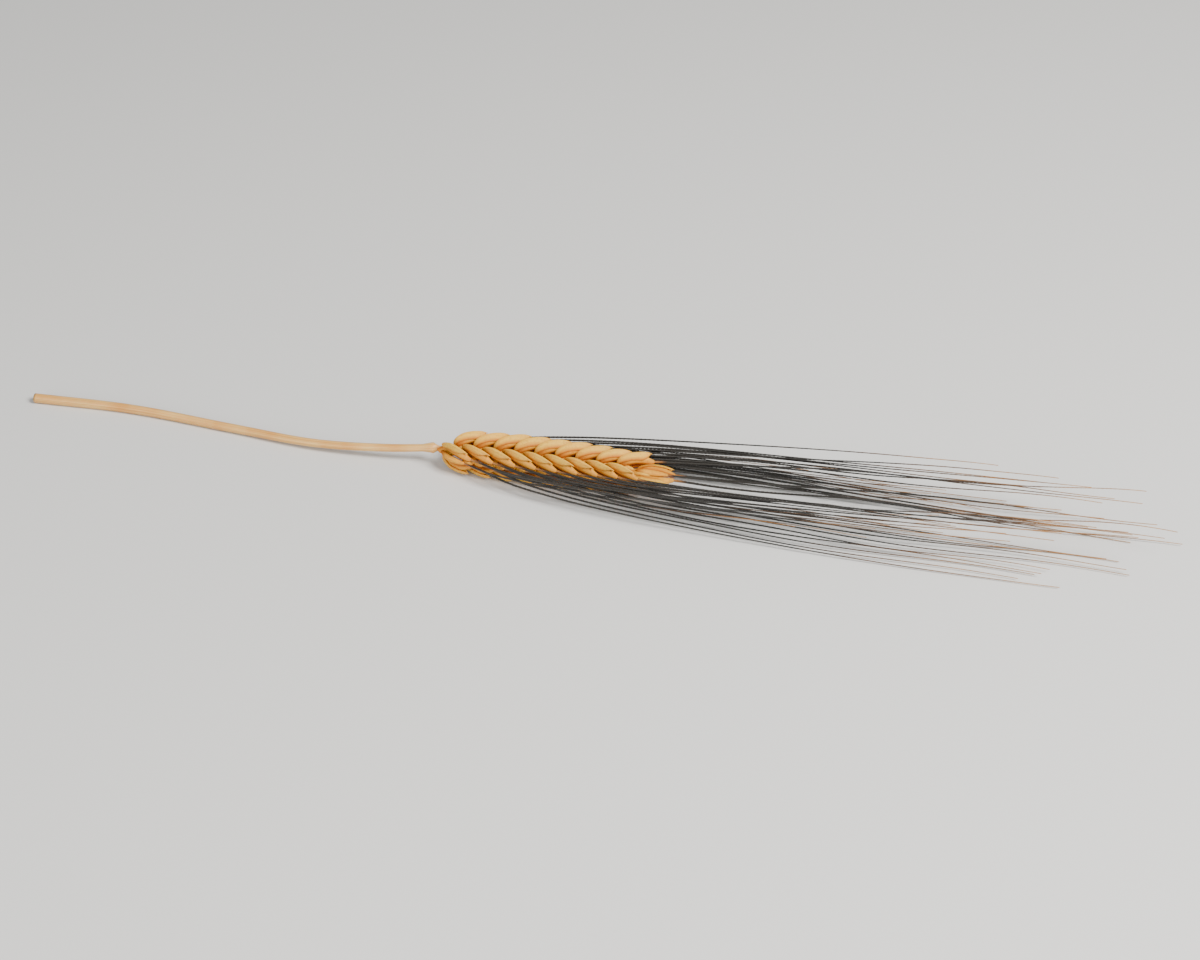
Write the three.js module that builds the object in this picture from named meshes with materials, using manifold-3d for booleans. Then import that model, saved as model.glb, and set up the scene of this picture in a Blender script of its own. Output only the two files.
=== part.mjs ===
// One bearded wheat ear on its straw, lying on a table.
// +X runs from the cut end of the straw to the tips of the awns, +Z is up, and the table is z = 0.
// The ear is flat: spikelets sit on the rachis in two rows, left (+Y) and right (-Y), and each
// spikelet fans up and down. It has two glumes, a small middle floret between them, and a top and
// an under floret. A floret is one husk that narrows into a long bristle, the awn.
import * as THREE from "three";
import { mergeVertices } from "three/addons/utils/BufferGeometryUtils.js";
import Module from "manifold-3d";

// Driving dimensions, in millimetres, degrees where the name says so.
const SPIKELETS_PER_ROW = 9;
const NODE_PITCH = 2.75; // from one rachis node to the next, on the other side
const AXIS_HEIGHT = 5; // the ear's axis above the table
const GAP = 0.3; // clear space between two pieces that touch on a real ear

const STRAW_LENGTH = 118;
const STRAW_RADIUS = 1.15;
const COLLAR_RADIUS = 1.45;
const RACHIS_HALF_WIDTH = 0.8;
const RACHIS_HALF_THICKNESS = 0.38;

const HUSK_LENGTH = 10.8; // a top or under floret without its awn
const HUSK_HALF_WIDTH = 1.55;
const HUSK_HALF_THICKNESS = 1.06;
const HUSK_SPREAD = 1.5; // how far the middle of a husk bows away from the middle of its spikelet
const HUSK_START_ANGLE = 48; // degrees from the ear's axis at the base of a husk
const HUSK_END_ANGLE = 12; // degrees from the ear's axis at its tip
const MIDDLE_HUSK_LENGTH = 9.4;
const MIDDLE_HUSK_HALF_WIDTH = 0.8;
const GLUME_LENGTH = 9.6;
const GLUME_THICKNESS = 0.4;
const GLUME_KEEL_ANGLE = 26; // degrees round the husk, from the fan direction towards the outside
const GLUME_INNER_WRAP = 86; // degrees from the keel to the inner edge
const GLUME_OUTER_WRAP = 64;
const GLUME_KEEL_HEIGHT = 0.25;

const AWN_LENGTH = 146;
const MIDDLE_AWN_SHARE = 0.7; // the middle floret's awn is shorter and finer than the other two
const AWN_BASE_RADIUS = 0.4;
const AWN_TIP_RADIUS = 0.12;
const BEARD_REACH = { left: 14, right: 21 }; // how far the tips of the awns lie from the axis
const BEARD_ANGLE = { left: 22, right: 29 }; // degrees at which the awns leave the husks
const BEARD_HEIGHT = 17;

const radians = THREE.MathUtils.degToRad;
const lerp = THREE.MathUtils.lerp;
const vector = (x, y, z) => new THREE.Vector3(x, y, z);

const wasm = await Module();
wasm.setup();

// ---- Chance: the same small differences every time ----

// A number from -1 to 1 that depends only on the three whole numbers given.
function wobble(a, b, c) {
  const wave = Math.sin(a * 127.1 + b * 311.7 + c * 74.7) * 43758.5453;
  return 2 * (wave - Math.floor(wave)) - 1;
}

// ---- Solids from three.js shapes ----

// A geometry with shared vertices and outward faces, ready to be one closed solid.
function closed(geometry) {
  geometry.deleteAttribute("normal");
  geometry.deleteAttribute("uv");
  const merged = mergeVertices(geometry, 1e-4);
  const at = (corner) =>
    new THREE.Vector3().fromBufferAttribute(merged.attributes.position, merged.index.getX(corner));
  let sixVolumes = 0;
  for (let i = 0; i < merged.index.count; i += 3) sixVolumes += at(i).dot(at(i + 1).cross(at(i + 2)));
  if (sixVolumes < 0) merged.index.array.reverse();
  return merged;
}

function toSolid(geometry) {
  const triVerts = new Uint32Array(geometry.index.array);
  return new wasm.Manifold(
    new wasm.Mesh({ numProp: 3, vertProperties: geometry.attributes.position.array, triVerts }),
  );
}

function joined(geometries) {
  const whole = geometries.map(toSolid).reduce((sum, solid) => sum.add(solid));
  const mesh = whole.simplify(0.02).getMesh();
  return new THREE.BufferGeometry()
    .setAttribute("position", new THREE.BufferAttribute(mesh.vertProperties, 3))
    .setIndex(new THREE.BufferAttribute(mesh.triVerts, 1));
}

// The directions across and through a body whose spine runs along one way.
function crossDirections(along, outward) {
  const across = along.clone().cross(outward).normalize();
  return { across, through: across.clone().cross(along).normalize() };
}

// A lathe body laid along a spine. Each station gives a point on the spine, the direction of its
// thickness and its two half sizes; a station with no size is a closed end.
function laidAlong(stations, sides) {
  const profile = stations.map(({ halfWidth }, i) => new THREE.Vector2(halfWidth > 0 ? 1 : 0, i));
  const lathe = new THREE.LatheGeometry(profile, sides);
  const position = lathe.attributes.position;
  for (let i = 0; i < position.count; i += 1) {
    const here = Math.round(position.getY(i));
    const { point, along, outward, halfWidth, halfThickness } = stations[here];
    const before = stations[Math.max(here - 1, 0)].point;
    const after = stations[Math.min(here + 1, stations.length - 1)].point;
    const { across, through } = crossDirections(along ?? after.clone().sub(before), outward);
    const moved = point
      .clone()
      .addScaledVector(across, position.getX(i) * halfWidth)
      .addScaledVector(through, position.getZ(i) * halfThickness);
    position.setXYZ(i, moved.x, moved.y, moved.z);
  }
  return closed(lathe);
}

// ---- Where each spikelet sits ----

// A spikelet's own directions: forward along the ear, outward from the rachis, and the direction
// that its florets fan in. size shrinks the spikelets near both ends of the ear.
function spikeletPlaces() {
  const places = [];
  for (let node = 0; node < 2 * SPIKELETS_PER_ROW; node += 1) {
    const side = node % 2 === 0 ? -1 : 1;
    const inRow = Math.floor(node / 2);
    const towardsBase = Math.max(0, 2 - inRow) / 2;
    const towardsTip = Math.max(0, inRow - 5) / 3;
    places.push({
      name: `${side < 0 ? "right" : "left"}_${inRow + 1}`,
      node,
      side,
      share: node / (2 * SPIKELETS_PER_ROW),
      origin: vector(node * NODE_PITCH, side * (RACHIS_HALF_THICKNESS + GAP + 0.1), AXIS_HEIGHT),
      outward: vector(0, side, 0),
      fan: vector(0, 0, 1),
      size: 1 - 0.1 * towardsBase - 0.1 * towardsTip,
      angle: HUSK_START_ANGLE - 10 * (node / (2 * SPIKELETS_PER_ROW)) - 5 * towardsTip,
      spread: 1,
    });
  }
  places.push({
    name: "tip",
    node: 2 * SPIKELETS_PER_ROW,
    side: 0,
    share: 1,
    origin: vector(2 * SPIKELETS_PER_ROW * NODE_PITCH + 2.5, 0, AXIS_HEIGHT),
    outward: vector(0, 0, 1),
    fan: vector(0, 1, 0),
    size: 0.92,
    angle: 0,
    spread: 0,
  });
  return places;
}

// A point of a spikelet, from distances forward, outward and along the fan.
const placed = (place, forward, outward, fan) =>
  place.origin
    .clone()
    .add(vector(forward, 0, 0))
    .addScaledVector(place.outward, outward)
    .addScaledVector(place.fan, fan);

// Half width of a husk as a share of its widest, from its base (0) to its tip (1).
const swell = (share) => Math.sin(Math.PI * share ** 0.8) ** 0.62;

// The spine of a husk: it leaves the rachis at a steep angle and turns back along the ear.
// up is 1 for the top floret, -1 for the under one and 0 for the middle one.
function huskSpine(place, up, share) {
  const steps = 12;
  const length = (up === 0 ? MIDDLE_HUSK_LENGTH : HUSK_LENGTH) * place.size;
  let forward = up === 0 ? 0.3 : 1.25;
  let outward = up === 0 ? 0.4 : lerp(-0.55, -0.2, place.share);
  for (let i = 0; i < steps; i += 1) {
    const turned = Math.max(0, ((i + 0.5) / steps) * share);
    const angle = radians(lerp(place.angle, HUSK_END_ANGLE, turned));
    forward += (Math.cos(angle) * length * share) / steps;
    outward += (Math.sin(angle) * length * share * place.spread) / steps;
  }
  const bow = Math.sin(Math.PI * Math.min(0.93, Math.max(0, share) ** 0.75));
  return placed(place, forward, outward, up * place.size * (0.9 + HUSK_SPREAD * bow));
}

// The direction in which a husk's spine runs at a share of its length.
const huskDirection = (place, up, share) =>
  huskSpine(place, up, share + 0.04).sub(huskSpine(place, up, Math.max(0, share - 0.04)));

// ---- Awns ----

// An awn runs on from the tip of its husk, turns away from the ear and then back along it. The
// awns of the lowest spikelets end furthest out, so that none of them crosses another.
function awnCurve(place, up) {
  const start = huskSpine(place, up, 1);
  const atTip = place.side === 0;
  const side = atTip ? up : place.side;
  const lane = (1 - place.share) ** 0.85;
  const widest = side > 0 ? BEARD_REACH.left : BEARD_REACH.right;
  const steepest = side > 0 ? BEARD_ANGLE.left : BEARD_ANGLE.right;
  const angle = radians(atTip ? 3 : lerp(up === 0 ? 0.45 : 0.25, 1, lane) * steepest);
  const chance = (n) => wobble(place.node, up, n);
  const whole = AWN_LENGTH * (up === 0 ? MIDDLE_AWN_SHARE : 1);
  const length = whole * (1 + 0.09 * chance(3)) * (1 - 0.12 * place.share);
  const reach = atTip ? 1.5 : widest * lerp(0.12, 1, lane) + 0.6 * chance(2);
  const aside = reach * (up === 0 ? 0.75 : 1);
  const heights = [0.9 + 0.5 * chance(1), 6 + 1.5 * chance(1), BEARD_HEIGHT - 4 + 4 * chance(1)];
  const end = vector(start.x + length, side * aside, atTip ? 8 : heights[up + 1]);
  const lift = atTip ? 0 : 0.03 * up;
  const leaving = start.clone().add(vector(1, side * Math.tan(angle), lift).multiplyScalar(0.16 * length));
  const arriving = end.clone().add(vector(-0.45 * length, -0.16 * (end.y - start.y), 0));
  arriving.z = up < 0 && !atTip ? end.z - 0.3 : lerp(end.z, start.z, 0.3);
  return new THREE.CubicBezierCurve3(start, leaving, arriving, end);
}

// ---- The pieces ----

// A husk as stations along its spine, from its base to just before its tip.
function huskStations(place, up, shares) {
  const widest = up === 0 ? MIDDLE_HUSK_HALF_WIDTH : HUSK_HALF_WIDTH;
  return shares.map((share) => {
    const size = share === 0 ? 0 : swell(share) * place.size;
    return {
      point: huskSpine(place, up, share),
      along: huskDirection(place, up, share),
      outward: place.outward,
      halfWidth: size * widest,
      halfThickness: size * HUSK_HALF_THICKNESS * (up === 0 ? 0.75 : 1),
    };
  });
}

// A floret's husk narrows into its awn, all one closed body.
function floret(place, up) {
  const stations = huskStations(place, up, [0, 0.08, 0.25, 0.5, 0.75, 0.92]);
  const awn = awnCurve(place, up);
  const awnSteps = 8;
  for (let i = 0; i <= awnSteps; i += 1) {
    const share = i / awnSteps;
    const radius = lerp(AWN_BASE_RADIUS, AWN_TIP_RADIUS, share) * (up === 0 ? 0.85 : 1);
    const point = awn.getPoint(share);
    stations.push({ point, outward: place.outward, halfWidth: radius, halfThickness: radius });
  }
  const point = awn.getPoint(1).add(vector(0.3, 0, 0));
  stations.push({ point, outward: place.outward, halfWidth: 0, halfThickness: 0 });
  return laidAlong(stations, 5);
}

// A glume: a thin keeled leaf wrapped round the outer side of the top or the under floret.
function glumeLeaf(place, up) {
  const shares = [-0.13, 0.08, 0.25, 0.5, 0.75, 0.86, GLUME_LENGTH / HUSK_LENGTH];
  const leaf = new THREE.SphereGeometry(1, 8, shares.length - 1);
  leaf.rotateZ(Math.PI / 2);
  const position = leaf.attributes.position;
  for (let i = 0; i < position.count; i += 1) {
    const ring = Math.round(((shares.length - 1) * Math.acos(-position.getX(i))) / Math.PI);
    const share = shares[ring];
    const round = Math.hypot(position.getY(i), position.getZ(i));
    const sideways = round > 0.01 ? Math.asin(position.getY(i) / round) / (Math.PI / 2) : 0;
    const z = position.getZ(i);
    const wrap = sideways < 0 ? GLUME_INNER_WRAP : GLUME_OUTER_WRAP;
    const turn = radians(GLUME_KEEL_ANGLE + wrap * sideways * Math.sqrt(round));
    const keel = z > 0 && Math.abs(sideways) < 0.1 ? GLUME_KEEL_HEIGHT * round : 0;
    const size = share < 0 ? 0 : swell(share) * place.size;
    const lift = share < 0 ? 0.1 : GAP + (GLUME_THICKNESS / 2) * (1 + z) + keel;
    const across = size * HUSK_HALF_WIDTH + lift;
    const thick = size * HUSK_HALF_THICKNESS + lift;
    const along = huskDirection(place, up, Math.max(share, 0));
    const directions = crossDirections(along, place.outward);
    const fanwards = up * Math.sign(directions.across.dot(place.fan));
    const moved = huskSpine(place, up, Math.max(share, 0))
      .addScaledVector(directions.across, fanwards * across * Math.cos(turn))
      .addScaledVector(directions.through, thick * Math.sin(turn));
    if (share < 0) moved.copy(placed(place, 0.05, 0.35, up * 1.2));
    position.setXYZ(i, moved.x, moved.y, moved.z);
  }
  return closed(leaf);
}

// The small stub that carries both glumes and the middle floret.
function rachilla(place) {
  const stub = new THREE.SphereGeometry(1, 6, 5);
  const reach = 2.34 * place.size;
  const position = stub.attributes.position;
  for (let i = 0; i < position.count; i += 1) {
    const moved = placed(
      place,
      0.1 + 0.55 * position.getX(i),
      0.35 + 0.38 * position.getZ(i),
      reach * position.getY(i),
    );
    position.setXYZ(i, moved.x, moved.y, moved.z);
  }
  return closed(stub);
}

// The straw and the rachis are one stem: round up to the collar, then flat and zigzag.
function stemStations() {
  const upright = vector(0, 1, 0);
  const straw = new THREE.CatmullRomCurve3([
    vector(-STRAW_LENGTH, 5.2, STRAW_RADIUS * 1.12),
    vector(-STRAW_LENGTH * 0.76, 5.6, STRAW_RADIUS * 1.12),
    vector(-STRAW_LENGTH * 0.5, 2.4, STRAW_RADIUS * 1.2),
    vector(-STRAW_LENGTH * 0.3, -0.6, 2.1),
    vector(-STRAW_LENGTH * 0.13, -0.8, 3.6),
    vector(-2.2, 0, AXIS_HEIGHT),
  ]);
  const steps = 22;
  const stations = [];
  const cut = straw.getPoint(0);
  stations.push({ point: cut, outward: upright, halfWidth: 0, halfThickness: 0 });
  for (let i = 0; i <= steps; i += 1) {
    const share = i / steps;
    const radius = i === steps ? COLLAR_RADIUS : STRAW_RADIUS * lerp(1.12, 0.86, share);
    const shift = i === 0 ? 0.001 : 0;
    const point = straw.getPoint(share).add(vector(shift, 0, 0));
    stations.push({ point, outward: upright, halfWidth: radius, halfThickness: radius });
  }
  const nodes = 2 * SPIKELETS_PER_ROW;
  for (let node = 0; node <= nodes; node += 1) {
    const side = node % 2 === 0 ? -1 : 1;
    const thin = lerp(1, 0.6, node / nodes);
    stations.push({
      point: vector(node * NODE_PITCH - 0.9, -side * 0.12, AXIS_HEIGHT),
      outward: upright,
      halfWidth: RACHIS_HALF_WIDTH * thin,
      halfThickness: RACHIS_HALF_THICKNESS * thin,
    });
  }
  const end = vector(nodes * NODE_PITCH + 1.2, 0, AXIS_HEIGHT);
  stations.push({ point: end, outward: upright, halfWidth: 0, halfThickness: 0 });
  return stations;
}

// ---- Finishes and assembly ----

const finishes = {
  straw: new THREE.MeshStandardMaterial({ color: 0xdbbd93, roughness: 0.55, metalness: 0 }),
  glume: new THREE.MeshStandardMaterial({ color: 0xd9a866, roughness: 0.6, metalness: 0 }),
  awn: new THREE.MeshStandardMaterial({ color: 0x4d4335, roughness: 0.45, metalness: 0 }),
};

function named(name, geometry, material) {
  const mesh = new THREE.Mesh(geometry, material);
  mesh.name = name;
  return mesh;
}

const ear = new THREE.Group();
ear.add(named("straw_and_rachis", laidAlong(stemStations(), 8), finishes.straw));
for (const place of spikeletPlaces()) {
  const glumes = [rachilla(place), floret(place, 0), glumeLeaf(place, 1), glumeLeaf(place, -1)];
  const [first, second] = place.side === 0 ? ["left", "right"] : ["top", "under"];
  ear.add(named(`${place.name}_glumes`, joined(glumes), finishes.glume));
  ear.add(named(`${place.name}_floret_${first}`, floret(place, 1), finishes.awn));
  ear.add(named(`${place.name}_floret_${second}`, floret(place, -1), finishes.awn));
}

// The origin is the middle of the space that the ear takes up, on the table.
const room = new THREE.Box3().setFromObject(ear);
ear.position.set(-(room.min.x + room.max.x) / 2, -(room.min.y + room.max.y) / 2, -room.min.z);

const part = new THREE.Group();
part.add(ear);
export default part;
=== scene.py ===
# %% [markdown]
# # A bearded wheat ear
#
# A dried ear of wheat lies on a pale table. The straw runs up into a zigzag axis, the rachis.
# Spikelets sit on it in a left and a right row, with one more at the tip. A spikelet has two
# keeled outer husks, the glumes, a small middle floret between them, and a top and an under
# floret. A floret's husk narrows into a long black bristle, the awn.
#
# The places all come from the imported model, which is loaded here as a fixed frame. Each kind of
# husk is modelled once, laid out straight, and each copy is then bent into its own place.

# %% Load the frame
import math

import bmesh
import bpy
import numpy as np
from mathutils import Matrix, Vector


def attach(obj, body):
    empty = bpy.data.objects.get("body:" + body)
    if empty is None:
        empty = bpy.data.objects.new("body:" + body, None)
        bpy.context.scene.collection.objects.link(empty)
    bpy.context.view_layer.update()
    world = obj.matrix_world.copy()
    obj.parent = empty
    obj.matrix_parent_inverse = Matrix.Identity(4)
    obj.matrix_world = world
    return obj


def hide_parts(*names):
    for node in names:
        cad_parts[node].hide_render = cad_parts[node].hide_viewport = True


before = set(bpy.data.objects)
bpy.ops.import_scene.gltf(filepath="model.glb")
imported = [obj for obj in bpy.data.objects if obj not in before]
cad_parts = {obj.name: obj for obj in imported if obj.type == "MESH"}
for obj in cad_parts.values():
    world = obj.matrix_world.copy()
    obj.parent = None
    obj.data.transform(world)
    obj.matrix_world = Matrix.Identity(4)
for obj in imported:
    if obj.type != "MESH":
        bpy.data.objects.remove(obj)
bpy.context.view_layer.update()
MM = 0.001

# %% [markdown]
# ## Where everything is
#
# The frame's florets and its straw are tubes of rings round a curved middle line. The rings can
# be read back: starting from the vertex at the tip, the next ring is all the vertices that are
# one edge further away. The middle of each ring is a point of the middle line.


# %% Read the rings of a frame node
SAME_PLACE = 0.002 * MM  # points closer than this are one point


def rings_of(node):
    """The rings of points of a tube in the frame, from its base to its tip."""
    mesh = bmesh.new()
    mesh.from_mesh(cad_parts[node].data)
    bmesh.ops.remove_doubles(mesh, verts=mesh.verts, dist=SAME_PLACE)
    ring = [max(mesh.verts, key=lambda vertex: vertex.co.x)]
    seen = set(ring)
    rings = []
    while ring:
        rings.append(np.array([vertex.co for vertex in ring]))
        near = {edge.other_vert(vertex) for vertex in ring for edge in vertex.link_edges}
        ring = sorted(near - seen, key=lambda vertex: vertex.index)
        seen.update(ring)
    mesh.free()
    return rings[::-1]


print("rings in a floret:", [len(ring) for ring in rings_of("right_5_floret_top")])

# %% [markdown]
# A middle line has to be smooth, or a bent husk would show a kink at each ring. A Hermite curve
# goes through the middles of the rings and has one direction at each. At every point the line
# also has two directions square to it: one goes through the piece, away from the rachis, and
# the other goes across it.


# %% Smooth middle lines
class MiddleLine:
    """A smooth line through points, with the side that faces away from the rachis."""

    def __init__(self, points, outward):
        self.points = np.array(points, float)
        steps = np.linalg.norm(np.diff(self.points, axis=0), axis=1)
        self.at = np.concatenate([[0], np.cumsum(steps)])
        self.slopes = np.gradient(self.points, self.at, axis=0)
        self.outward = np.array(outward, float)
        self.length = self.at[-1]

    def places(self, along):
        """Points and directions (across, through) at distances along the line."""
        along = np.asarray(along, float)
        i = np.clip(np.searchsorted(self.at, along) - 1, 0, len(self.at) - 2)
        step = (self.at[i + 1] - self.at[i])[:, None]
        t = ((along - self.at[i]) / step[:, 0])[:, None]
        p0, p1 = self.points[i], self.points[i + 1]
        m0, m1 = self.slopes[i] * step, self.slopes[i + 1] * step
        point = (
            (2 * t**3 - 3 * t**2 + 1) * p0
            + (t**3 - 2 * t**2 + t) * m0
            + (3 * t**2 - 2 * t**3) * p1
            + (t**3 - t**2) * m1
        )
        slope = (
            (6 * t**2 - 6 * t) * (p0 - p1) + (3 * t**2 - 4 * t + 1) * m0 + (3 * t**2 - 2 * t) * m1
        )
        across = np.cross(slope, self.outward)
        across /= np.linalg.norm(across, axis=1, keepdims=True)
        through = np.cross(across, slope)
        through /= np.linalg.norm(through, axis=1, keepdims=True)
        return point, across, through

    def laid(self, shape):
        """The points of a straight shape (along, across, through), bent onto the line."""
        point, across, through = self.places(shape[:, 0])
        return point + across * shape[:, 1:2] + through * shape[:, 2:3]


# %% [markdown]
# ## Tools for leaves and tubes
#
# Husks, awns and straw are thin curved skins. A grid of small squares is the best start for
# them: its rows run along the piece and its columns run round it, and its UV map goes with them,
# so that the finish can follow the piece from base to tip. An operator can't give a husk its
# swelling outline, so a short formula moves the grid's points. Where two edges of the grid meet,
# or a whole row comes to a point, the doubles are merged and the skin is closed.


# %% Grid, points and clean-up
SEAM = 0.004 * MM  # edges closer than this are merged


def grid(name, rows, columns):
    """A flat sheet one unit long (X) and one unit wide (Y), with its UV map."""
    bpy.ops.object.select_all(action="DESELECT")
    bpy.ops.mesh.primitive_grid_add(x_subdivisions=rows, y_subdivisions=columns, size=1)
    sheet = bpy.context.object
    sheet.name = name
    sheet.data.name = name
    put_points(sheet, points_of(sheet) + [0.5, 0.5, 0])
    return sheet


def points_of(piece):
    flat = np.zeros(3 * len(piece.data.vertices))
    piece.data.vertices.foreach_get("co", flat)
    return flat.reshape(-1, 3)


def put_points(piece, points):
    piece.data.vertices.foreach_set("co", np.asarray(points, float).ravel())
    piece.data.update()


def select_only(*pieces):
    bpy.ops.object.select_all(action="DESELECT")
    for piece in pieces:
        piece.select_set(True)
    bpy.context.view_layer.objects.active = pieces[0]


def close_skin(piece):
    """Merges doubles, turns all faces outwards and shades them smooth."""
    select_only(piece)
    bpy.ops.object.mode_set(mode="EDIT")
    bpy.ops.mesh.select_all(action="SELECT")
    bpy.ops.mesh.remove_doubles(threshold=SEAM)
    bpy.ops.mesh.normals_make_consistent(inside=False)
    bpy.ops.object.mode_set(mode="OBJECT")
    bpy.ops.object.shade_smooth()


def joined(name, *pieces):
    select_only(*pieces)
    bpy.ops.object.join()
    whole = bpy.context.object
    whole.name = name
    whole.data.name = name
    return whole


def copied(master, name):
    """A copy of a master with a mesh of its own."""
    copy = master.copy()
    copy.data = master.data.copy()
    copy.name = name
    copy.data.name = name
    bpy.context.scene.collection.objects.link(copy)
    return copy


def smooth(value, low, high):
    """Rises smoothly from 0 at low to 1 at high."""
    t = np.clip((value - low) / (high - low), 0, 1)
    return t * t * (3 - 2 * t)


def chance(*whole_numbers):
    """A number from -1 to 1 that is always the same for the same whole numbers."""
    mixed = sum(n * step for n, step in zip(whole_numbers, (127.1, 311.7, 74.7)))
    wave = math.sin(mixed) * 43758.5453
    return 2 * (wave - math.floor(wave)) - 1


# %% [markdown]
# ## Finishes
#
# Dry straw and husks are pale gold, with fine lengthwise nerves. Light goes through them, so the
# folds between husks glow orange; that glow and the shade of the folds are painted into the husks'
# colour. The awns are charcoal-black with a greyish sheen, and fade to golden brown at their tips.
# All of this follows each piece along its UV map, and a slow noise in the object's own space makes
# one husk a little greener or redder than the next.


# %% Node helpers
def new_finish(name, **sockets):
    """A material, its node maker and its main shader."""
    finish = bpy.data.materials.new(name)
    finish.use_nodes = True
    nodes, links = finish.node_tree.nodes, finish.node_tree.links
    shader = nodes["Principled BSDF"]

    def make(kind, inputs, **settings):
        made = nodes.new("ShaderNode" + kind)
        for setting, value in settings.items():
            setattr(made, setting, value)
        for socket, value in inputs.items():
            if isinstance(value, bpy.types.NodeSocket):
                links.new(value, made.inputs[socket])
            else:
                made.inputs[socket].default_value = value
        return made

    for socket, value in sockets.items():
        shader.inputs[socket.replace("_", " ")].default_value = value
    return finish, make, shader, links


def linear(red, green, blue):
    """A colour given as on screen, 0 to 255, as the shader needs it."""
    return (*[(c / 255) ** 2.2 for c in (red, green, blue)], 1)


def ramp(make, factor, *stops):
    """A colour ramp from (place, colour) stops."""
    made = make("ValToRGB", {"Fac": factor})
    elements = made.color_ramp.elements
    while len(elements) < len(stops):
        elements.new(0.5)
    for element, (place, colour) in zip(elements, stops):
        element.position = place
        element.color = colour
    return made.outputs["Color"]


def mix(make, share, first, second, blend="MIX"):
    """Two colours mixed."""
    inputs = {0: share, 6: first, 7: second}
    return make("Mix", inputs, data_type="RGBA", blend_type=blend).outputs[2]


def streaks(make, stretch, scale, detail=3.0):
    """Noise drawn out along a piece's UV map."""
    where = make("UVMap", {}, uv_map="UVMap").outputs["UV"]
    drawn = make("Mapping", {"Vector": where, "Scale": stretch}).outputs["Vector"]
    return make("TexNoise", {"Vector": drawn, "Scale": scale, "Detail": detail}).outputs["Fac"]


def cloud(make, scale, detail=2.0):
    """Slow noise in the object's own space."""
    where = make("TexCoord", {}).outputs["Object"]
    return make("TexNoise", {"Vector": where, "Scale": scale, "Detail": detail}).outputs["Fac"]


def along_and_round(make):
    """How far along (0 base to 1 tip) and how far round a piece a point is."""
    where = make("UVMap", {}, uv_map="UVMap").outputs["UV"]
    apart = make("SeparateXYZ", {"Vector": where})
    return apart.outputs["X"], apart.outputs["Y"]


# %% [markdown]
# The glumes and the lemmas share one kind of finish. Their colour goes from a deep orange base,
# painted shade and glow where the husks tuck in, to a pale gold middle. A glume turns orange again
# at its two edges, which lie in the folds between the husks, and a lemma on the side that is turned
# away: this orange is painted shade and glow of the folds. Fine nerves run along both.


# %% Husk finish
def husk_finish(name, base, middle, tip, nerve, painted_fold_shade, where):
    """Dry husk: colours along it, with painted shade at its base, of its nerves, and a painted fold
    shade, shown by stops round the husk.
    """
    finish, make, shader, links = new_finish(
        name, Roughness=0.55, IOR=1.4, Subsurface_Weight=0.14, Subsurface_Scale=0.001
    )
    shader.inputs["Subsurface Radius"].default_value = (1.0, 0.42, 0.12)
    shader.inputs["Specular IOR Level"].default_value = 0.25
    along, round_it = along_and_round(make)
    # Painted shade: the deep orange base stands for the shade and warm glow where the husk tucks in
    # between others.
    body = ramp(make, along, (0.05, base), (0.34, middle), (0.8, middle), (0.97, tip))
    from_middle = make("Math", {0: round_it, 1: 0.5}, operation="SUBTRACT").outputs[0]
    apart = make("Math", {0: from_middle}, operation="ABSOLUTE").outputs[0]
    # Painted fold shade: a glume's two edges and a lemma's inner side get a darker orange for the
    # shade and glow in the folds.
    painted_shade_share = ramp(make, apart, *where)
    body_with_painted_shade = mix(make, 0.0, body, painted_fold_shade)
    links.new(painted_shade_share, body_with_painted_shade.node.inputs[0])
    nerves = streaks(make, (1.2, 34, 1), 1.0)
    lines = ramp(make, nerves, (0.44, (0, 0, 0, 1)), (0.66, (1, 1, 1, 1)))
    streaked = mix(make, 0.0, body_with_painted_shade, nerve)
    thin = make("Math", {0: lines, 1: 0.38}, operation="MULTIPLY")
    links.new(thin.outputs[0], streaked.node.inputs[0])
    slow = cloud(make, 150.0)
    tint = ramp(make, slow, (0.36, linear(255, 236, 190)), (0.64, linear(240, 246, 200)))
    tinted = mix(make, 0.45, streaked, tint, "MULTIPLY")
    fine = cloud(make, 1700.0, 4.0)
    spots = ramp(make, fine, (0.3, linear(206, 178, 142)), (0.5, linear(255, 255, 255)))
    links.new(mix(make, 0.4, tinted, spots, "MULTIPLY"), shader.inputs["Base Color"])
    bump = make("Bump", {"Height": nerves, "Strength": 0.55, "Distance": 0.12 * MM})
    links.new(bump.outputs["Normal"], shader.inputs["Normal"])
    return finish


# Glume: the deep orange base and the orange edges are painted shade and glow in the folds.
glume_finish = husk_finish(
    "glume",
    base=linear(206, 128, 32),
    middle=linear(236, 184, 82),
    tip=linear(226, 166, 80),
    nerve=linear(190, 124, 40),
    painted_fold_shade=linear(178, 98, 8),
    where=[(0.26, (0, 0, 0, 1)), (0.46, (0.95, 0.95, 0.95, 1))],
)
# Lemma: the deep orange base and the orange inner side are painted shade and glow in the folds.
lemma_finish = husk_finish(
    "lemma",
    base=linear(156, 72, 6),
    middle=linear(224, 160, 64),
    tip=linear(210, 146, 62),
    nerve=linear(166, 98, 26),
    painted_fold_shade=linear(166, 78, 6),
    where=[(0.14, (0.85, 0.85, 0.85, 1)), (0.26, (0, 0, 0, 1))],
)
print("husk finishes:", glume_finish.name, lemma_finish.name)

# %% [markdown]
# An awn is rough with tiny barbs, so its light comes back as a dull grey sheen. Its UV map runs
# from the husk (0) to the tip (1): a short tan foot, black for most of its length, then brown
# and gold in the last third. The tips don't all turn at the same place.

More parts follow.
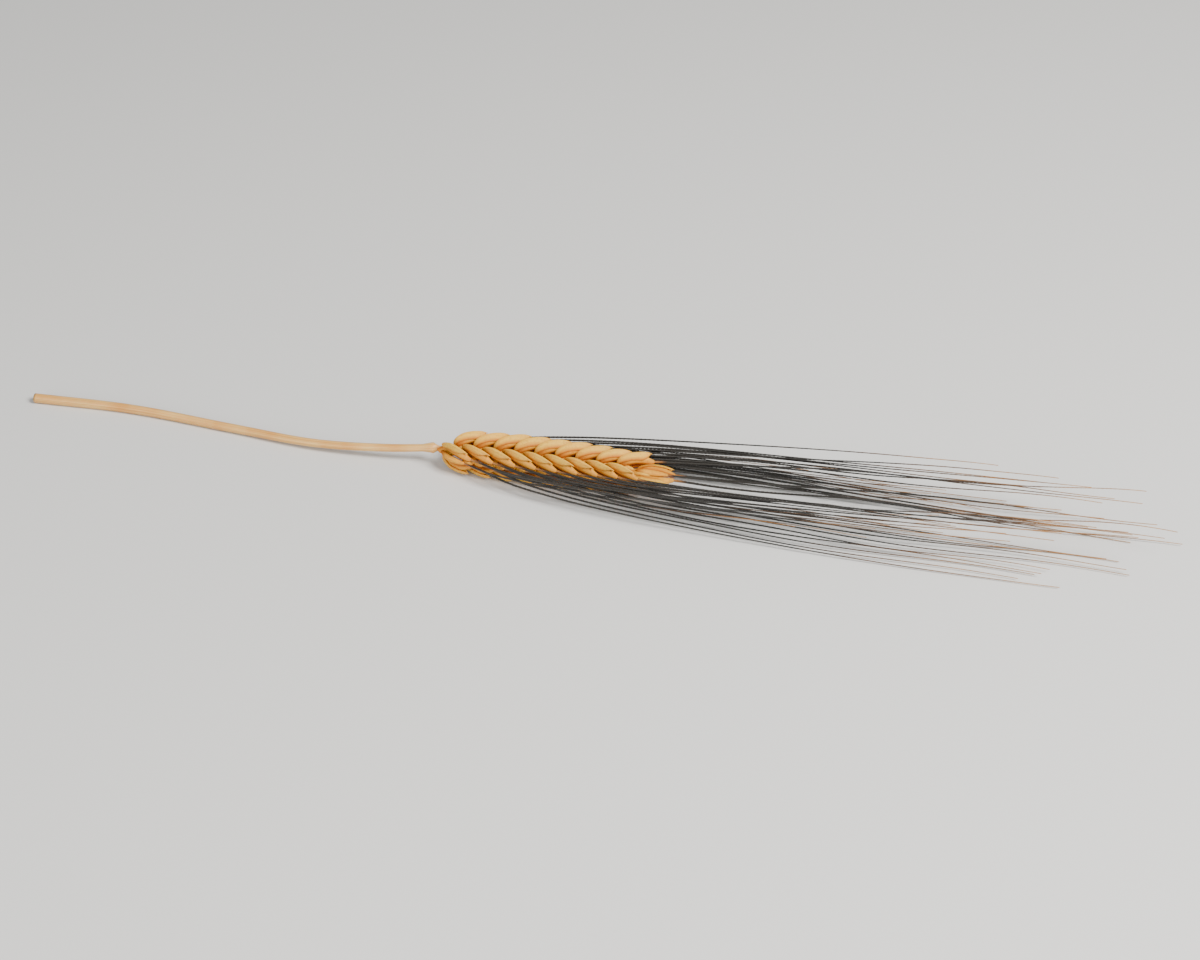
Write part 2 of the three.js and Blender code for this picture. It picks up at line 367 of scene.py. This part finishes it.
# %% Awn finish
awn_finish, make, shader, links = new_finish("awn", Roughness=0.4, IOR=1.5)
shader.inputs["Sheen Weight"].default_value = 0.12
shader.inputs["Sheen Roughness"].default_value = 0.4
along, _ = along_and_round(make)
wander = cloud(make, 70.0, 3.0)
pushed = make("Math", {0: wander, 1: 0.36, 2: along}, operation="MULTIPLY_ADD").outputs[0]
shifted = make("Math", {0: pushed, 1: 0.18}, operation="SUBTRACT").outputs[0]
shaft = ramp(
    make,
    shifted,
    (0.1, linear(42, 38, 32)),
    (0.58, linear(37, 35, 31)),
    (0.78, linear(96, 66, 38)),
    (0.98, linear(182, 128, 68)),
)
foot = ramp(make, along, (0.006, (0, 0, 0, 1)), (0.03, (1, 1, 1, 1)))
awn_colour = mix(make, foot, linear(168, 110, 50), shaft)
grain = streaks(make, (60, 3, 1), 1.0)
grey = ramp(make, grain, (0.35, linear(190, 192, 198)), (0.65, linear(255, 255, 255)))
links.new(mix(make, 0.7, awn_colour, grey, "MULTIPLY"), shader.inputs["Base Color"])
barbs = streaks(make, (420, 6, 1), 1.0, 1.0)
bump = make("Bump", {"Height": barbs, "Strength": 0.5, "Distance": 0.06 * MM})
links.new(bump.outputs["Normal"], shader.inputs["Normal"])
print("awn finish:", awn_finish.name)

# %% [markdown]
# The straw is the palest and the glossiest part. Noise that is drawn out along it gives the
# grooves their darker lines, and a slow noise gives it a few browner patches.

# %% Straw finish
straw_finish, make, shader, links = new_finish(
    "straw", Roughness=0.34, IOR=1.48, Subsurface_Weight=0.2, Subsurface_Scale=0.001
)
grooves = streaks(make, (3, 34, 1), 1.0)
straw_colour = ramp(
    make,
    grooves,
    (0.3, linear(192, 138, 70)),
    (0.55, linear(228, 184, 112)),
    (0.8, linear(240, 206, 140)),
)
slow = cloud(make, 70.0, 4.0)
patches = ramp(make, slow, (0.4, linear(255, 255, 255)), (0.68, linear(226, 186, 130)))
links.new(mix(make, 0.7, straw_colour, patches, "MULTIPLY"), shader.inputs["Base Color"])
bump = make("Bump", {"Height": grooves, "Strength": 0.6, "Distance": 0.1 * MM})
links.new(bump.outputs["Normal"], shader.inputs["Normal"])
print("straw finish:", straw_finish.name)

# %% [markdown]
# ## The husk of a floret
#
# The husk is a long pod that is fat below its middle and narrows to the foot of its awn. Two
# leaves make it. The outer one, the lemma, has a rounded back with fine raised nerves, and its
# edges clasp the inner one, the palea, which has two keels and a hollow between them. The pod is
# modelled once, straight, with its back turned to +Y.

# %% Husk sizes
HUSK_LENGTH = 10.8 * MM
HUSK_HALF_WIDTH = 1.55 * MM
HUSK_HALF_THICKNESS = 1.06 * MM
AWN_FOOT_RADIUS = 0.4 * MM
AWN_TIP_RADIUS = 0.11 * MM
LEMMA_EDGE = (1.9, 2.05)  # radians from the middle of the back, where the lemma steps down
PALEA_KEEL = 2.55
PALEA_KEEL_WIDTH = 0.16
PALEA_HOLLOW = 2.6


def swell(share):
    """Half width of a husk as a share of its widest, from its base (0) to its tip (1)."""
    return np.maximum(np.sin(np.pi * np.clip(share, 0, 1) ** 0.8), 0) ** 0.465


# %% [markdown]
# The grid is rolled up into the pod. The outline gives each row its size, and the relief lifts or
# lowers each column: nerves on the back, the edge of the lemma, the two keels, the hollow.

# %% Model the husk master
husk_master = grid("husk_master", rows=40, columns=48)
sheet = points_of(husk_master)
share, turn = sheet[:, 0], 2 * np.pi * sheet[:, 1]
from_back = np.abs((turn + np.pi) % (2 * np.pi) - np.pi)
margin = smooth(from_back, *LEMMA_EDGE)
palea_keel = np.exp(-(((from_back - PALEA_KEEL) / PALEA_KEEL_WIDTH) ** 2))
hollow = smooth(from_back, PALEA_HOLLOW, np.pi)
nerve = np.maximum(np.cos(12 * turn), 0) ** 2 * (1 - margin) * np.sin(np.pi * share) ** 0.5
relief = 1 + 0.03 * nerve - 0.12 * margin + 0.07 * palea_keel - 0.1 * hollow
open_rows = share < 0.999  # all but the last row, which comes to a point
size = swell(share) * open_rows * relief
foot = AWN_FOOT_RADIUS * smooth(share, 0.7, 1) * open_rows
across = np.hypot(size * HUSK_HALF_WIDTH, foot) * np.cos(turn)
through = np.hypot(size * HUSK_HALF_THICKNESS, foot) * np.sin(turn)
put_points(husk_master, np.column_stack([share * HUSK_LENGTH, across, through]))
husk_master.data.materials.append(lemma_finish)
close_skin(husk_master)
print("husk master:", len(husk_master.data.polygons), "faces")

# %% [markdown]
# ## The awn
#
# An awn is three-sided, stiff and thin, with a row of barbs on each of its edges. It is one long
# narrow tube of six columns: every second column is an edge. Its rings come in pairs, so that an
# edge rises slowly to the point of a barb and drops back at once, and all barbs point to the tip.

# %% Model the awn master
AWN_RINGS = 240
AWN_COLUMNS = 6
BARB_DEPTH = 0.2  # as a share of the awn's radius
PAIR_SHIFT = 0.6  # how far every second ring is moved up, as a share of a ring's step
awn_master = grid("awn_master", AWN_RINGS, AWN_COLUMNS)
sheet = points_of(awn_master)
ring = np.round(sheet[:, 0] * AWN_RINGS)
column = np.round(sheet[:, 1] * AWN_COLUMNS)
at_point = ring % 2
share = (ring + PAIR_SHIFT * at_point) / (AWN_RINGS + PAIR_SHIFT)
radius = AWN_FOOT_RADIUS + (AWN_TIP_RADIUS - AWN_FOOT_RADIUS) * share**0.85
radius = radius * (1 - BARB_DEPTH * (1 - at_point * (column % 2 == 0)))
radius = np.where((ring == 0) | (ring == AWN_RINGS), 0, radius)
turn = 2 * np.pi * sheet[:, 1]
put_points(awn_master, np.column_stack([share, radius * np.cos(turn), radius * np.sin(turn)]))
awn_master.data.materials.append(awn_finish)
close_skin(awn_master)
print("awn master:", len(awn_master.data.polygons), "faces")

# %% [markdown]
# ## The glume
#
# A glume is a stiff papery leaf that is folded lengthwise along a sharp keel, like the hull of a
# boat, and clasps the outside of a floret. It has fine nerves on both sides of its keel, broad
# shoulders and a small beak at its tip. The master is a flat leaf: 0 to 1 along it, and -1 to 1
# from its inner to its outer edge. It only gets its shape when it is wrapped round a husk.

# %% Model the glume master
glume_master = grid("glume_master", rows=42, columns=32)
put_points(glume_master, points_of(glume_master) * [1, 2, 1] - [0, 1, 0])
glume_master.data.materials.append(glume_finish)
print("glume master:", len(glume_master.data.polygons), "faces")

# %% [markdown]
# ## Florets in place
#
# Each floret of the frame gives one middle line. Its first rings are the husk and the rest is
# the awn. The straight husk is stretched to the length of its part of the line, the straight awn
# to the rest, and both are bent onto it and joined: one piece, as it grew. The back of a husk is
# turned away from the middle of its spikelet. No awn is quite straight, so each one wanders a
# little to its own two sides.

# %% Names and middle lines
OUTWARD = {"right": (0, -1, 0), "left": (0, 1, 0), "tip": (0, 0, 1)}
PAIRS = {"right": ("top", "under"), "left": ("top", "under"), "tip": ("left", "right")}
NAMES = [f"{row}_{place}" for place in range(1, 10) for row in ("right", "left")] + ["tip"]
HUSK_RINGS = 6  # the frame's rings from the base of a husk to the foot of its awn
MIDDLE_LENGTH = 0.87  # the middle husk's length, as a share of the others'
STUB_REACH = 2.5 * MM  # the frame's middle floret starts this far from its foot
LANE = 0.85 * MM  # as long as it lies between its glumes, it keeps this close to its foot's line
GLUMES_REACH = 12.5 * MM  # past this it is alone
RING_GAP = 0.4 * MM  # its rings are at least this far apart


def floret_line(node, row):
    """The middle line of a floret, and the length of its husk."""
    centres = [ring.mean(axis=0) for ring in rings_of(node)]
    line = MiddleLine(centres, OUTWARD[row])
    return line, line.at[HUSK_RINGS]


def middle_line(name, row, foot, husk_length):
    """The same for the small floret in the middle, from the part of its node that is its own."""
    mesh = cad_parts[f"{name}_glumes"].data
    points = np.array([vertex.co for vertex in mesh.vertices])
    forward = points[:, 0] - foot[0]
    aside = np.abs(points - foot)[:, 1 if row == "tip" else 2]
    own = (forward > STUB_REACH) & ((aside < LANE) | (forward > GLUMES_REACH))
    points = points[own][np.argsort(points[own][:, 0])]
    breaks = np.flatnonzero(np.diff(points[:, 0]) > RING_GAP) + 1
    centres = [foot] + [ring.mean(axis=0) for ring in np.split(points, breaks)]
    return MiddleLine(centres, OUTWARD[row]), MIDDLE_LENGTH * husk_length


def dress(piece, node):
    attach(piece, "root")
    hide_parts(node)


# %% [markdown]
# The masters are straight: X runs along the piece, and Y and Z are its two sides. A husk is turned
# about its own length before it is bent, so that its back faces the right way.


# %% Bend a husk and an awn onto a middle line
SHORTER = 0.03  # some awns end up to twice this share of their line short of its end


def husk_on(line, length, across, through, turned):
    """A husk on a line. turned is how far its back is turned from the across direction."""
    husk = copied(husk_master, "husk")
    straight = points_of(husk)
    cosine, sine = math.cos(turned), math.sin(turned)
    back, aside = straight[:, 1].copy(), straight[:, 2].copy()
    straight[:, 0] *= length / HUSK_LENGTH
    straight[:, 1] = across * (back * cosine - aside * sine)
    straight[:, 2] = through * (back * sine + aside * cosine)
    put_points(husk, line.laid(straight))
    return husk


def awn_on(line, start, thickness, number, rise, sway):
    """An awn on the rest of a line. It wanders by chance, up and down (rise) and sideways (sway)."""
    awn = copied(awn_master, "awn")
    straight = points_of(awn)
    share = straight[:, 0].copy()
    end = line.length * (1 - SHORTER * (1 + chance(number, 4)))
    straight[:, 0] = start + share * (end - start)
    straight[:, 1:] *= thickness
    for axis, reach in ((1, rise), (2, sway)):
        waves = 1.3 + 0.9 * chance(number, axis, 1)
        phase = math.pi * chance(number, axis, 2)
        wander = np.sin(2 * np.pi * waves * share + phase) - math.sin(phase)
        straight[:, axis] += reach * share**0.8 * wander / 2
    put_points(awn, line.laid(straight))
    return awn


# %% [markdown]
# A floret's side says which way its partner lies. It decides where the back of the husk is turned,
# and later on which side its glume has its keel, so all the lines are kept.

# %% Lay florets on the frame
AWN_START = 0.9  # inside the husk, as a share of the husk's length
FREE_RISE = 0.6 * MM  # how far an awn wanders up and down
LOW_RISE = 0.2 * MM  # for the under florets, whose awns lie close to the table
SWAY = np.linspace(1.2 * MM, 2.4 * MM, len(NAMES))  # sideways, from the first spikelets to the tip
lines = {}
for number, name in enumerate(NAMES):
    row = name.split("_")[0]
    pair = [floret_line(f"{name}_floret_{which}", row) for which in PAIRS[row]]
    for i, which in enumerate(PAIRS[row]):
        line, length = pair[i]
        fanwards = line.points[HUSK_RINGS // 2] - pair[1 - i][0].points[HUSK_RINGS // 2]
        side = np.sign(line.places([length / 2])[1][0] @ fanwards)
        lines[name, which] = line, length, side
        scale = length / HUSK_LENGTH
        husk = husk_on(line, length, scale, scale, 0 if side > 0 else math.pi)
        rise = LOW_RISE if which == "under" else FREE_RISE
        awn = awn_on(line, AWN_START * length, 1, 2 * number + i, rise, SWAY[number])
        floret = joined(f"{name}_husk_and_awn_{which}", husk, awn)
        dress(floret, f"{name}_floret_{which}")
print("florets:", len(lines))

# %% [markdown]
# ## Glumes in place
#
# Each glume is wrapped round its floret's husk. At each place along it, three points of the
# husk's section matter: the keel, which stands out, and the two edges, which hug the husk. A flat
# facet would run straight from keel to edge, a round leaf would follow the section, and a glume
# lies between the two. Then Solidify gives the leaf its thickness.

# %% Glume sizes
GLUME_START = -0.12  # as a share of the husk's length
GLUME_END = 0.82
KEEL_ANGLE = 18  # degrees round the husk, from the spikelet's edge towards the outside
INNER_WRAP = 84  # degrees from the keel to the inner edge
OUTER_WRAP = 62
KEEL_LIFT = 0.7 * MM  # above the husk
EDGE_LIFT = 0.16 * MM
FLATNESS = 0.85  # 0 for a round leaf, 1 for flat facets
OUTER_SHOULDER = 0.13  # how far the tip is cut back at an edge, as a share of the leaf's length
INNER_SHOULDER = 0.04
BEAK = 0.05
FLARE = 0.4 * MM  # how far the keel's tip stands off the husk
NERVE_HEIGHT = 0.035 * MM
GLUME_THICKNESS = 0.16 * MM


# %% Wrap a glume round a husk
def wrap_glume(glume, line, length, side, number):
    """Wraps a flat leaf: first its outline, then its section, then its place on the line."""
    along, aside = points_of(glume)[:, :2].T
    from_keel = np.abs(aside)
    outline = smooth(along, -0.3, 0.42) * (1 - np.clip((along - 0.7) / 0.3, 0, 1) ** 3) ** 0.6
    cut_back = np.where(aside > 0, OUTER_SHOULDER, INNER_SHOULDER)
    shoulder = cut_back * from_keel**1.5 * smooth(along, 0.4, 1)
    beak = BEAK * np.maximum(1 - from_keel / 0.2, 0) * smooth(along, 0.85, 1)
    share = GLUME_START + (GLUME_END - GLUME_START) * (along - shoulder + beak)
    scale = length / HUSK_LENGTH
    tuck = smooth(share, GLUME_START - 0.02, 0.08)
    size = swell(np.maximum(share, 0.05)) * scale * tuck

    keel_at = KEEL_ANGLE + 4 * chance(number, 5)
    wrap = np.where(aside < 0, INNER_WRAP, OUTER_WRAP) * (1 + 0.06 * chance(number, 6))

    def section(degrees, lift):
        wide = (size * HUSK_HALF_WIDTH + lift * tuck) * np.cos(np.radians(degrees))
        thick = (size * HUSK_HALF_THICKNESS + lift * tuck) * np.sin(np.radians(degrees))
        return np.column_stack([wide, thick])

    flare = FLARE * (1 + 0.6 * chance(number, 7)) * smooth(along, 0.6, 1)
    keel_lift = EDGE_LIFT + (KEEL_LIFT - EDGE_LIFT) * smooth(along, -0.1, 0.3) + flare
    keel = section(keel_at + 0 * along, keel_lift)
    edge = section(keel_at + wrap * outline * np.sign(aside), EDGE_LIFT)
    lift = keel_lift + (EDGE_LIFT - keel_lift) * from_keel
    round_leaf = section(keel_at + wrap * outline * aside, lift)
    facet = keel + (edge - keel) * from_keel[:, None]
    profile = round_leaf + FLATNESS * (facet - round_leaf)
    nerve = np.maximum(np.cos(from_keel * 8 * np.pi), 0) ** 3 * smooth(from_keel, 0.1, 0.3)
    out = profile / np.maximum(np.linalg.norm(profile, axis=1, keepdims=True), 0.05 * MM)
    profile = profile + out * (NERVE_HEIGHT * nerve * np.sin(np.pi * along))[:, None]

    point, across, through = line.places(np.maximum(share, 0) * length)
    point = point + across * side * profile[:, :1] + through * profile[:, 1:]
    point[:, 0] += np.minimum(share, 0) * length
    put_points(glume, point)


def thicken(leaf):
    select_only(leaf)
    wall = leaf.modifiers.new("wall", "SOLIDIFY")
    wall.thickness = GLUME_THICKNESS
    wall.offset = 0
    bpy.ops.object.modifier_apply(modifier=wall.name)


# %% [markdown]
# ## Stubs and middle florets
#
# The glumes and the middle floret grow on a stub, the rachilla. A ball is squashed and drawn out
# along the ear for it, so that it also fills the room between the husks. The middle floret is
# slimmer and its awn is shorter and finer. Its back is turned to the outside of the ear.

# %% Lay spikelets on the frame
MIDDLE_ACROSS = 1.0
MIDDLE_THROUGH = 0.7
MIDDLE_AWN = 0.8  # its awn's thickness, as a share of the others'
MIDDLE_AWN_START = 0.88
MIDDLE_OUT = 0.8 * MM  # how far its base lies outside the bases of the other two
MIDDLE_BACK = 0.95 * MM  # and behind them
MIDDLE_NUMBER = 100  # the middle awns count on from here, so that they wander in other ways
STUB_OUT = 0.4 * MM
STUB_AHEAD = 0.9 * MM
STUB_HALF_LENGTH = 3.2 * MM
STUB_HALF_WIDTH = 1.4 * MM
STUB_HALF_THICKNESS = 0.75 * MM


def stub_at(centre, fan):
    """A squashed ball. fan is the direction from one glume's foot to the other's."""
    bpy.ops.object.select_all(action="DESELECT")
    bpy.ops.mesh.primitive_uv_sphere_add(segments=16, ring_count=10, radius=1)
    stub = bpy.context.object
    reach = np.where(fan, STUB_HALF_WIDTH, STUB_HALF_THICKNESS)
    reach[0] = STUB_HALF_LENGTH
    put_points(stub, points_of(stub) * reach + centre)
    bpy.ops.object.shade_smooth()
    stub.data.materials.append(glume_finish)
    return stub


for number, name in enumerate(NAMES):
    row = name.split("_")[0]
    pieces = []
    for i, which in enumerate(PAIRS[row]):
        glume = copied(glume_master, "glume")
        wrap_glume(glume, *lines[name, which], 2 * number + i)
        thicken(glume)
        close_skin(glume)
        pieces.append(glume)
    first, second = (lines[name, which][0].points[0] for which in PAIRS[row])
    base = (first + second) / 2
    outward = np.array(OUTWARD[row])
    foot = base + MIDDLE_OUT * outward - [MIDDLE_BACK, 0, 0]
    line, length = middle_line(name, row, foot, lines[name, PAIRS[row][0]][1])
    scale = length / HUSK_LENGTH
    pieces.append(husk_on(line, length, MIDDLE_ACROSS * scale, MIDDLE_THROUGH * scale, math.pi / 2))
    start = MIDDLE_AWN_START * length
    own_number = MIDDLE_NUMBER + number
    pieces.append(awn_on(line, start, MIDDLE_AWN, own_number, FREE_RISE, SWAY[number]))
    fan = np.array([0, 1, 0] if row == "tip" else [0, 0, 1])
    pieces.append(stub_at(base + STUB_OUT * outward + [STUB_AHEAD, 0, 0], fan))
    spikelet = joined(f"{name}_glumes_and_middle_floret", *pieces)
    dress(spikelet, f"{name}_glumes")
print("spikelets:", len(NAMES))

# %% [markdown]
# ## The straw and the rachis
#
# The straw is round, with fine grooves, and a little thicker at the collar under the ear. Above
# the collar it goes on as the rachis: flat, and widest at each node where a spikelet sits. The
# frame's rings give the middle line and both half sizes, and a grid is rolled round it.

# %% Model the straw
STRAW_RINGS = 300
STRAW_SIDES = 48
GROOVES = 12
GROOVE_DEPTH = 0.022  # as a share of the half width
BORE_DEPTH = 4 * MM
BORE_SHARE = 0.72
straw_rings = rings_of("straw_and_rachis")
centres = np.array([ring.mean(axis=0) for ring in straw_rings])
straw_line = MiddleLine(centres, (0, 1, 0))
_, ring_across, ring_through = straw_line.places(straw_line.at)
half_width = [np.abs((r - c) @ a).max() for r, c, a in zip(straw_rings, centres, ring_across)]
half_thick = [np.abs((r - c) @ t).max() for r, c, t in zip(straw_rings, centres, ring_through)]

straw = grid("straw_and_rachis_skin", STRAW_RINGS, STRAW_SIDES)
sheet = points_of(straw)
turn = 2 * np.pi * sheet[:, 1]
run = sheet[:, 0] * (straw_line.length + BORE_DEPTH) - BORE_DEPTH  # below 0 inside the bore
along = np.abs(run)
hollow = np.where(run < 0, BORE_SHARE, 1)
grooves = 1 + GROOVE_DEPTH * np.cos(turn * GROOVES)
width = np.interp(along, straw_line.at[1:-1], half_width[1:-1]) * grooves * hollow
thick = np.interp(along, straw_line.at[1:-1], half_thick[1:-1]) * grooves * hollow
closing = (sheet[:, 0] > 0.0005) & (sheet[:, 0] < 0.9995)  # both end rows come to a point
straight = np.column_stack([along, width * closing * np.cos(turn), thick * closing * np.sin(turn)])
put_points(straw, straw_line.laid(straight))
straw.data.materials.append(straw_finish)
close_skin(straw)
dress(straw, "straw_and_rachis")
print("straw:", len(straw.data.polygons), "faces")

# %% [markdown]
# The three masters have done their work. They would lie at the origin, so they go.

# %% Remove the masters
for master in (husk_master, awn_master, glume_master):
    bpy.data.objects.remove(master)
print("pieces left:", len(lines) + len(NAMES) + 1)

# %% [markdown]
# ## Table, light and camera
#
# The ear lies on a wide pale table that goes on past the picture's edges.

# %% Table
TABLE_SIDE = 6
bpy.ops.object.select_all(action="DESELECT")
bpy.ops.mesh.primitive_plane_add(size=TABLE_SIDE)
table = bpy.context.object
table.name = "table"
table_finish, make, shader, links = new_finish("table", Roughness=0.7)
shader.inputs["Base Color"].default_value = linear(214, 214, 212)
table.data.materials.append(table_finish)
print("table:", table.name)

# %% [markdown]
# A large soft light hangs high on the right, as from a window, and a weaker one fills the front.
# The room is pale all round and lights the shadows.


# %% Lights
def soft_light(name, place, size, power, colour):
    bpy.ops.object.light_add(type="AREA", location=place)
    light = bpy.context.object
    light.name = name
    light.data.size = size
    light.data.energy = power
    light.data.color = colour
    light.rotation_euler = (-light.location).to_track_quat("-Z", "Y").to_euler()


soft_light("window", (0.6, -0.25, 0.75), 0.4, 18, (1.0, 0.98, 0.95))
soft_light("fill", (-0.3, -0.9, 0.5), 0.7, 7, (1.0, 0.98, 0.96))
world = bpy.data.worlds.new("room")
bpy.context.scene.world = world
world.use_nodes = True
sky = world.node_tree.nodes["Background"]
sky.inputs["Color"].default_value = (1.0, 1.0, 1.0, 1)
sky.inputs["Strength"].default_value = 0.37
print("lights:", [light.name for light in bpy.data.lights])

# %% [markdown]
# The camera looks down on the ear from the side of its right row, a little towards the tips.

# %% Camera
CAMERA_AZIMUTH = math.radians(-12)
CAMERA_HEIGHT = math.radians(36)
CAMERA_DISTANCE = 0.61
looked_at = np.array([0.004, 0.0, 0.004])
back = np.array(
    [
        -math.sin(CAMERA_AZIMUTH) * math.cos(CAMERA_HEIGHT),
        -math.cos(CAMERA_AZIMUTH) * math.cos(CAMERA_HEIGHT),
        math.sin(CAMERA_HEIGHT),
    ]
)
bpy.ops.object.camera_add(location=looked_at + back * CAMERA_DISTANCE)
camera = bpy.context.object
camera.rotation_euler = Vector(-back).to_track_quat("-Z", "Y").to_euler()
camera.data.lens = 70
camera.data.clip_start = 0.01
bpy.context.scene.camera = camera
print("camera, mm from the ear:", round(CAMERA_DISTANCE / MM))
